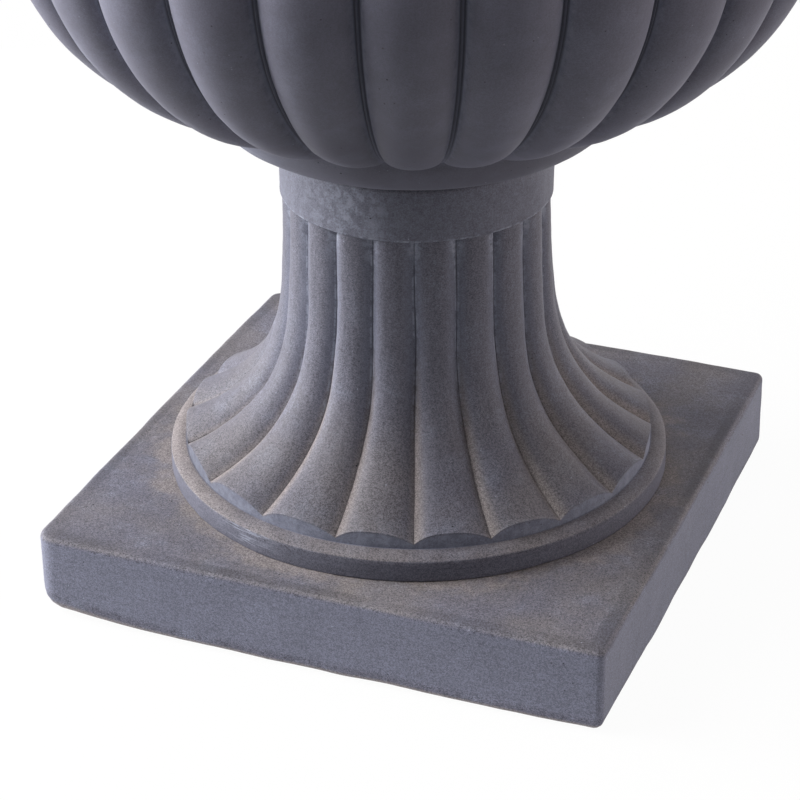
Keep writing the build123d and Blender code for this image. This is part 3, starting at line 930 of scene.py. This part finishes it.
    # Dust on the ring's top, with a painted highlight on the side towards the left lamps
    marks["settled"][ring_edge + 3:first_arch] = 0.2 + 0.5 * left_lamp_side
    return round_the_axis(rows, turn + drift + wander), marks


class URN_OT_pedestal(bpy.types.Operator):
    """Models the reeded pedestal, with its ring, arches and collar."""

    bl_idname = "urn.pedestal"
    bl_label = "Pedestal"

    def execute(self, context):
        bands, marks = pedestal_bands(context.scene.urn_pedestal)
        pedestal = wrapped_grid("pedestal_casting", bands, marks)
        uneven(pedestal, 30 * MM, 0.4 * MM)
        uneven(pedestal, 9 * MM, 0.15 * MM)
        clean(pedestal)
        stone = cast_stone(
            "charcoal_cast_stone_brushed", film=0.16, dust=0.42, contrast=0.75, relief=0.07 * MM, tone=0.89
        )
        hand_over(pedestal, stone, "cast_stone", "urn", "pedestal")
        return {"FINISHED"}


SIDE_COLUMNS = 84
CORNER_COLUMNS = 14
TOP_ROWS = 34
# Bearing in degrees of the worn left corner
LEFT_CORNER = -135


def plinth_outline(half, corners, inset, swell):
    """Points round the square at this distance in from its sides, with a radius for each corner."""
    points = []
    for quarter in range(4):
        corner = max(corners[quarter] - inset, 0.3 * MM)
        following = max(corners[(quarter + 1) % 4] - inset, 0.3 * MM)
        reach = half - inset
        bend = np.radians(np.linspace(0, 90, CORNER_COLUMNS, endpoint=False))
        bend_x = reach - corner + corner * np.cos(bend - pi / 2)
        bend_y = -reach + corner + corner * np.sin(bend - pi / 2)
        side = np.linspace(0, 1, SIDE_COLUMNS, endpoint=False)
        side_x = reach + swell * (1 - (2 * side - 1) ** 2)
        side_y = -reach + corner + (2 * reach - corner - following) * side
        spin = quarter * pi / 2
        across = np.concatenate([bend_x, side_x])
        along = np.concatenate([bend_y, side_y])
        turned_x = across * cos(spin) - along * sin(spin)
        turned_y = across * sin(spin) + along * cos(spin)
        points.append(np.stack([turned_x, turned_y], axis=-1))
    points = np.concatenate(points)
    return np.concatenate([points, points[:1]])


def plinth_bands(plinth):
    """Rows of points of the plinth, with the marks of its worn edges."""
    half = PLINTH_HIGH.x
    top = BASE_RING_LOW.z
    low = PLINTH_LOW.z
    corners = (plinth.front_corner, plinth.right_corner, plinth.back_corner, plinth.left_corner)
    edge = plinth_outline(half, corners, 0, plinth.swell)
    bearing = np.arctan2(edge[:, 1], edge[:, 0])
    register = (88 * MM, PLINTH_HIGH.z)
    opening = 45 * MM
    recess = (95 * MM, low + 26 * MM)

    def circle(radius, height):
        level = np.full(bearing.shape, height)
        return np.stack([radius * np.cos(bearing), radius * np.sin(bearing), level], axis=-1)

    def square(inset, height):
        flat = plinth_outline(half, corners, inset, plinth.swell)
        return np.concatenate([flat, np.full((len(flat), 1), height)], axis=1)

    def between(start, end, steps):
        share = np.linspace(0, 1, steps, endpoint=False)[:, None, None]
        return start * (1 - share) + end * share

    def worn(inset, height):
        deep = 20 * MM
        share = (inset / deep)[:, None]
        flat = edge * (1 - share) + plinth_outline(half, corners, deep, plinth.swell) * share
        return np.concatenate([flat, height[:, None]], axis=1)

    upper = plinth.top_rounding
    from_left = np.degrees(np.angle(np.exp(1j * (bearing - radians(LEFT_CORNER)))))
    lower = plinth.foot_rounding + plinth.corner_wear * near(from_left, 0, 9)
    lower = lower + 0.4 * MM * (np.sin(9 * bearing + 1) + 0.6 * np.sin(23 * bearing))
    upper_turn = [radians(a) for a in (0, 18, 36, 54, 72, 90)]
    lower_turn = [radians(a) for a in (0, 15, 30, 45, 60, 75, 90)]
    upper_edge = [square(upper * (1 - sin(a)), top - upper * (1 - cos(a))) for a in upper_turn]
    lower_edge = [worn(lower * (1 - cos(a)), low + lower * (1 - sin(a))) for a in lower_turn]
    bands = [
        between(circle(opening, recess[1]), circle(opening, register[1]), 3),
        between(circle(opening, register[1]), circle(register[0], register[1]), 4),
        between(circle(register[0], register[1]), circle(register[0], top), 2),
        between(circle(register[0], top), upper_edge[0], TOP_ROWS),
        np.stack(upper_edge[:-1]),
        between(upper_edge[-1], lower_edge[0], 14),
        np.stack(lower_edge[:-1]),
        between(lower_edge[-1], circle(recess[0], low), 10),
        between(circle(recess[0], low), circle(recess[0], recess[1]), 4),
        between(circle(recess[0], recess[1]), circle(opening, recess[1]), 4),
    ]
    points = np.concatenate(bands)
    points = np.concatenate([points, points[:1]])
    marks = {mark: np.zeros(points.shape[:2]) for mark in MARKS}
    first_side = sum(band.shape[0] for band in bands[:5])
    last_side = first_side + bands[5].shape[0]
    rim = sum(band.shape[0] for band in bands[:4])
    marks["hollow"][rim - 2:rim + 2] = 0.22 + 0.16 * np.sin(5 * bearing + 2) * np.sin(11 * bearing)
    marks["bare"][first_side:last_side] = 0.5
    marks["turned"][first_side:last_side] = 0.6
    # A pale brownish band along the lower rounding of the foot
    marks["settled"][last_side + 2:last_side + 8] = 0.6
    return points, marks


class URN_OT_plinth(bpy.types.Operator):
    """Models the square plinth, with its register on top and its recess underneath."""

    bl_idname = "urn.plinth"
    bl_label = "Plinth"

    def execute(self, context):
        points, marks = plinth_bands(context.scene.urn_plinth)
        plinth = wrapped_grid("plinth_casting", points, marks)
        uneven(plinth, 45 * MM, 0.5 * MM)
        uneven(plinth, 10 * MM, 0.15 * MM)
        clean(plinth)
        stone = cast_stone(
            "charcoal_cast_stone_sanded",
            film=0.0,
            dust=0.5,
            contrast=0.8,
            relief=0.08 * MM,
            tone=1.06,
            halo_radius=PEDESTAL_HIGH.x,
        )
        hand_over(plinth, stone, "cast_stone", "urn", "plinth")
        return {"FINISHED"}


# Bedding rings, tie rod and drain plug


def node_ring(node, name, bore, rounding):
    """A flat ring with soft edges, as wide and as high as its node."""
    low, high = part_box(node)
    outline = soft_rectangle(bore, high.x, low.z, high.z, rounding)
    return turned(name, outline, columns=128)


class URN_OT_rings(bpy.types.Operator):
    """Models the soft rings between the castings and under the upper washer."""

    bl_idname = "urn.rings"
    bl_label = "Soft rings"

    def execute(self, context):
        rubber = moulded_rubber()
        bores = {"base_gasket": 91.3 * MM, "neck_gasket": 54.0 * MM, "sealing_washer": ROD_HOLE}
        for node, bore in bores.items():
            ring = node_ring(node, node + "_ring", bore, 0.4 * MM)
            hand_over(ring, rubber, "black_rubber", "urn", node)
        return {"FINISHED"}


THREAD_PITCH = 1.75 * MM
THREAD_DEPTH = 1.0 * MM


def threaded_rod(name, radius, low, high):
    """A rod with a real thread: one turn of it is swept up the axis and cut square at both ends."""
    deselect()
    root = radius - THREAD_DEPTH
    turns = int((high - low) / THREAD_PITCH) + 4
    start = low - 2 * THREAD_PITCH
    flat = THREAD_PITCH / 8
    outline = [
        (root, start),
        (radius, start + THREAD_PITCH / 2 - flat),
        (radius, start + THREAD_PITCH / 2 + flat),
        (root, start + THREAD_PITCH),
    ]
    mesh = bpy.data.meshes.new(name)
    mesh.from_pydata([(r, 0, z) for r, z in outline], [(0, 1), (1, 2), (2, 3)], [])
    rod = bpy.data.objects.new(name, mesh)
    bpy.context.scene.collection.objects.link(rod)
    apply_modifier(
        rod,
        "SCREW",
        axis="Z",
        steps=20,
        render_steps=20,
        iterations=turns,
        screw_offset=THREAD_PITCH,
        use_merge_vertices=True,
        merge_threshold=MERGE_DISTANCE,
    )
    pick(rod)
    bpy.ops.object.mode_set(mode="EDIT")
    for height, outwards in ((low, -1), (high, 1)):
        bpy.ops.mesh.select_all(action="SELECT")
        bpy.ops.mesh.bisect(
            plane_co=(0, 0, height), plane_no=(0, 0, outwards), use_fill=True, clear_outer=True
        )
    bpy.ops.object.mode_set(mode="OBJECT")
    clean(rod, 30)
    return rod


def hexagon_nut(name, flats, bore, low, high):
    """A hexagon with its corners turned off at both ends and a plain bore."""
    corner = flats / sqrt(3)
    nut = cylinder(corner, low, high, sides=6)
    nut.name = nut.data.name = name
    slope = (corner - flats / 2) * 0.5
    clear = corner * 1.02
    barrel = turned(
        name + "_barrel",
        [
            (0, low),
            (flats / 2, low),
            (clear, low + slope),
            (clear, high - slope),
            (flats / 2, high),
            (0, high),
        ],
        columns=48,
    )
    cut(nut, barrel, "INTERSECT")
    cut(nut, cylinder(bore, low - MM, high + MM, 32))
    clean(nut, 20)
    return nut


def joined(name, parts):
    """Joins like parts into one piece of separate shells."""
    deselect()
    for part in parts:
        part.select_set(True)
    bpy.context.view_layer.objects.active = parts[0]
    bpy.ops.object.join()
    parts[0].name = parts[0].data.name = name
    return parts[0]


class URN_OT_tie(bpy.types.Operator):
    """Models the tie rod with its nuts, washers and anchor bar."""

    bl_idname = "urn.tie"
    bl_label = "Tie rod and fittings"

    def execute(self, context):
        steel = zinc_plate()
        rod_low, rod_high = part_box("tie_rod")
        rod = threaded_rod("tie_rod_threaded", rod_high.x, rod_low.z, rod_high.z)
        hand_over(rod, steel, "zinc_steel", "urn", "tie_rod")
        nut_low, nut_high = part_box("tie_nuts")
        nut_height = 10 * MM
        nut_flats = 19 * MM
        bore = rod_high.x + 0.2 * MM
        lower = hexagon_nut("lower_nut", nut_flats, bore, nut_low.z, nut_low.z + nut_height)
        upper = hexagon_nut("upper_nut", nut_flats, bore, nut_high.z - nut_height, nut_high.z)
        hand_over(joined("tie_nuts_hexagon", [lower, upper]), steel, "zinc_steel", "urn", "tie_nuts")
        washer_low, washer_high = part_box("tie_washers")
        thickness = 3 * MM
        feet = (washer_low.z, washer_high.z - thickness)
        washers = [
            turned(
                f"washer_{place}",
                soft_rectangle(ROD_HOLE, washer_high.x, foot, foot + thickness, 0.6 * MM),
            )
            for place, foot in enumerate(feet)
        ]
        hand_over(joined("tie_washers_plate", washers), steel, "zinc_steel", "urn", "tie_washers")
        bar_low, bar_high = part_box("anchor_bar")
        size = bar_high - bar_low
        deselect()
        bpy.ops.mesh.primitive_cube_add(size=1, location=(bar_low + bar_high) / 2, scale=size)
        bar = bpy.context.object
        bar.name = bar.data.name = "anchor_bar_flat"
        bpy.ops.object.transform_apply(location=True, scale=True)
        for rounding, corners in ((5 * MM, True), (0.8 * MM, False)):
            bpy.ops.object.mode_set(mode="EDIT")
            bpy.ops.mesh.select_all(action="DESELECT")
            bpy.ops.object.mode_set(mode="OBJECT")
            for line in bar.data.edges:
                ends = [bar.data.vertices[end].co for end in line.vertices]
                upright = abs(ends[0].z - ends[1].z) > size.z / 2
                line.select = upright == corners
            bpy.ops.object.mode_set(mode="EDIT")
            bpy.ops.mesh.select_mode(type="EDGE")
            bpy.ops.mesh.bevel(offset=rounding, segments=4, affect="EDGES")
            bpy.ops.object.mode_set(mode="OBJECT")
        cut(bar, cylinder(ROD_HOLE, bar_low.z - MM, bar_high.z + MM, 48))
        clean(bar, 30)
        hand_over(bar, steel, "zinc_steel", "urn", "anchor_bar")
        return {"FINISHED"}


class URN_OT_drain_plug(bpy.types.Operator):
    """Models the rubber drain plug, with its flange and grip."""

    bl_idname = "urn.drain_plug"
    bl_label = "Drain plug"

    def execute(self, context):
        low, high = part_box("drain_plug")
        centre = ((low.x + high.x) / 2, (low.y + high.y) / 2)
        flange = (high.x - low.x) / 2
        grip_foot = high.z - 9 * MM
        seat = grip_foot - 4 * MM
        stem = 8.6 * MM
        tip = 8.0 * MM
        grip = 5 * MM
        waist = 3.6 * MM
        quarter = [radians(90 * step / 5) for step in range(6)]
        dome = 3.5 * MM
        knob = [(grip * cos(a), high.z - dome + dome * sin(a)) for a in quarter]
        outline = [
            (0, low.z),
            (tip - 1 * MM, low.z),
            (tip, low.z + 1 * MM),
            (stem, seat),
            (flange - 0.8 * MM, seat),
            (flange, seat + 0.8 * MM),
            (flange, seat + 2.4 * MM),
            (flange - 1 * MM, seat + 3.4 * MM),
            (waist + 2 * MM, grip_foot),
            (waist, grip_foot + 1.5 * MM),
            (waist, grip_foot + 3 * MM),
            (grip, grip_foot + 4.5 * MM),
            *knob,
        ]
        plug = turned("drain_plug_stopper", outline, columns=64, centre=centre)
        hand_over(plug, moulded_rubber(), "black_rubber", "drain_plug", "drain_plug")
        return {"FINISHED"}


# Camera, floor and light

# Width of a soft box, its distance from the middle of the urn and the height of that middle, in metres
SOFT_BOX_WIDTH = 1.3
SOFT_BOX_DISTANCE = 2.4
SOFT_BOX_TARGET = 0.2
# Soft boxes: degrees turned from the camera, degrees raised, power in watts and tint
SOFT_BOXES = {
    "left": (-105, 5, 92, (1.0, 1.0, 1.0)),
    "left_high": (-88, 44, 64, (1.0, 1.0, 1.0)),
    "front": (-20, 38, 9, (1.0, 1.0, 1.0)),
    "right": (92, 4, 22, (1.0, 0.91, 0.86)),
    "right_front": (60, 14, 4, (1.0, 0.93, 0.9)),
    "right_high": (90, 66, 6, (1.0, 0.95, 0.93)),
    "back_right": (140, 3, 12, (1.0, 0.93, 0.9)),
    "back_high": (180, 66, 12, (1.0, 1.0, 1.0)),
}


class URN_OT_stage(bpy.types.Operator):
    """Sets up the camera, the pale floor and soft light."""

    bl_idname = "urn.stage"
    bl_label = "Stage"

    def execute(self, context):
        scene = context.scene
        stage = scene.urn_stage
        camera = bpy.data.cameras.new("camera")
        camera.lens = stage.focal_length
        camera.sensor_width = 36
        camera.clip_start = 0.05
        eye = bpy.data.objects.new("camera", camera)
        scene.collection.objects.link(eye)
        eye.matrix_world = (
            Matrix.Translation(stage.camera_place)
            @ Matrix.Rotation(stage.heading, 4, "Z")
            @ Matrix.Rotation(pi / 2 - stage.pitch, 4, "X")
            @ Matrix.Rotation(stage.roll, 4, "Z")
        )
        scene.camera = eye
        scene.view_settings.view_transform = "Standard"

        deselect()
        towards = atan2(stage.camera_place[1], stage.camera_place[0])
        middle = (stage.paper_front - stage.paper_back) / 2
        bpy.ops.mesh.primitive_plane_add(
            size=1,
            location=(middle * cos(towards), middle * sin(towards), PLINTH_LOW.z),
            rotation=(0, 0, towards),
            scale=(stage.paper_front + stage.paper_back, stage.paper_width, 1),
        )
        floor = bpy.context.object
        floor.name = "floor"
        bpy.ops.object.transform_apply(location=True, rotation=True, scale=True)
        floor.data.materials.append(self.paper(stage.paper))
        self.sky(scene)
        for name, (turn, elevation, power, tint) in SOFT_BOXES.items():
            self.soft_box(stage, name, turn, elevation, power, tint)
        return {"FINISHED"}

    def seen(self, tree):
        """1 for rays from the camera and for mirrored or refracted ones, which all see white."""
        camera = add(tree, "ShaderNodeLightPath", output="Is Camera Ray")
        rays = camera.node.outputs
        seen = add(tree, "ShaderNodeMath", {0: camera, 1: rays["Is Glossy Ray"]}, operation="MAXIMUM")
        return add(tree, "ShaderNodeMath", {0: seen, 1: rays["Is Transmission Ray"]}, operation="MAXIMUM")

    def paper(self, tint):
        """Pale paper that shows white, with a soft shadow under the urn."""
        material, tree, shader = new_material("pale_backdrop_paper")
        shader.inputs["Base Color"].default_value = (*tint, 1)
        shader.inputs["Roughness"].default_value = 0.9
        white = add(tree, "ShaderNodeEmission", {"Color": (1, 1, 1, 1), "Strength": 1.0})
        share = add(tree, "ShaderNodeMath", {0: self.seen(tree), 1: 0.96}, operation="MULTIPLY")
        mixed = add(tree, "ShaderNodeMixShader", {0: share, 1: shader.outputs[0], 2: white})
        tree.links.new(mixed, tree.nodes["Material Output"].inputs["Surface"])
        return material

    def sky(self, scene):
        """Even white light all round, seen as pure white."""
        world = bpy.data.worlds.new("studio")
        world.use_nodes = True
        scene.world = world
        tree = world.node_tree
        strength = add(tree, "ShaderNodeMapRange", {0: self.seen(tree), 3: 0.01, 4: 1.0})
        background = tree.nodes["Background"]
        background.inputs["Color"].default_value = (1, 1, 1, 1)
        tree.links.new(strength, background.inputs["Strength"])

    def soft_box(self, stage, name, turn, elevation, power, tint):
        """A large soft box that faces the urn, turned from the camera and raised by these degrees."""
        light = bpy.data.lights.new(name + "_soft_box", "AREA")
        light.shape = "SQUARE"
        light.size = SOFT_BOX_WIDTH
        light.energy = power
        light.color = tint
        lamp = bpy.data.objects.new(name + "_soft_box", light)
        bpy.context.scene.collection.objects.link(lamp)
        target = Vector((0, 0, SOFT_BOX_TARGET))
        bearing = atan2(stage.camera_place[1], stage.camera_place[0]) + radians(turn)
        reach = SOFT_BOX_DISTANCE * cos(radians(elevation))
        rise = SOFT_BOX_DISTANCE * sin(radians(elevation))
        place = target + Vector((reach * cos(bearing), reach * sin(bearing), rise))
        aim = (target - place).to_track_quat("-Z", "Y").to_matrix().to_4x4()
        lamp.matrix_world = Matrix.Translation(place) @ aim


class URN_PT_panel(bpy.types.Panel):
    """Lists the urn's pieces and sizes."""

    bl_idname = "URN_PT_panel"
    bl_label = "Garden urn"
    bl_space_type = "VIEW_3D"
    bl_region_type = "UI"
    bl_category = "Urn"

    def draw(self, context):
        for operator in OPERATORS:
            self.layout.operator(operator.bl_idname)
        for name in GROUPS:
            group = getattr(context.scene, name)
            box = self.layout.box()
            for key in group.bl_rna.properties.keys():
                if key not in ("rna_type", "name"):
                    box.prop(group, key)


GROUPS = {
    "urn_stone": UrnStone,
    "urn_bowl": UrnBowl,
    "urn_pedestal": UrnPedestal,
    "urn_plinth": UrnPlinth,
    "urn_stage": UrnStage,
}
OPERATORS = (
    URN_OT_plinth,
    URN_OT_pedestal,
    URN_OT_bowl,
    URN_OT_rings,
    URN_OT_tie,
    URN_OT_drain_plug,
    URN_OT_stage,
)


def register():
    for group in (*GROUPS.values(), *OPERATORS, URN_PT_panel):
        bpy.utils.register_class(group)
    for name, group in GROUPS.items():
        setattr(bpy.types.Scene, name, PointerProperty(type=group))


def unregister():
    for name in GROUPS:
        delattr(bpy.types.Scene, name)
    for group in (URN_PT_panel, *reversed(OPERATORS), *GROUPS.values()):
        bpy.utils.unregister_class(group)


def main():
    register()
    bpy.ops.urn.plinth()
    bpy.ops.urn.pedestal()
    bpy.ops.urn.bowl()
    bpy.ops.urn.rings()
    bpy.ops.urn.tie()
    bpy.ops.urn.drain_plug()
    bpy.ops.urn.stage()


if __name__ == "__main__":
    main()
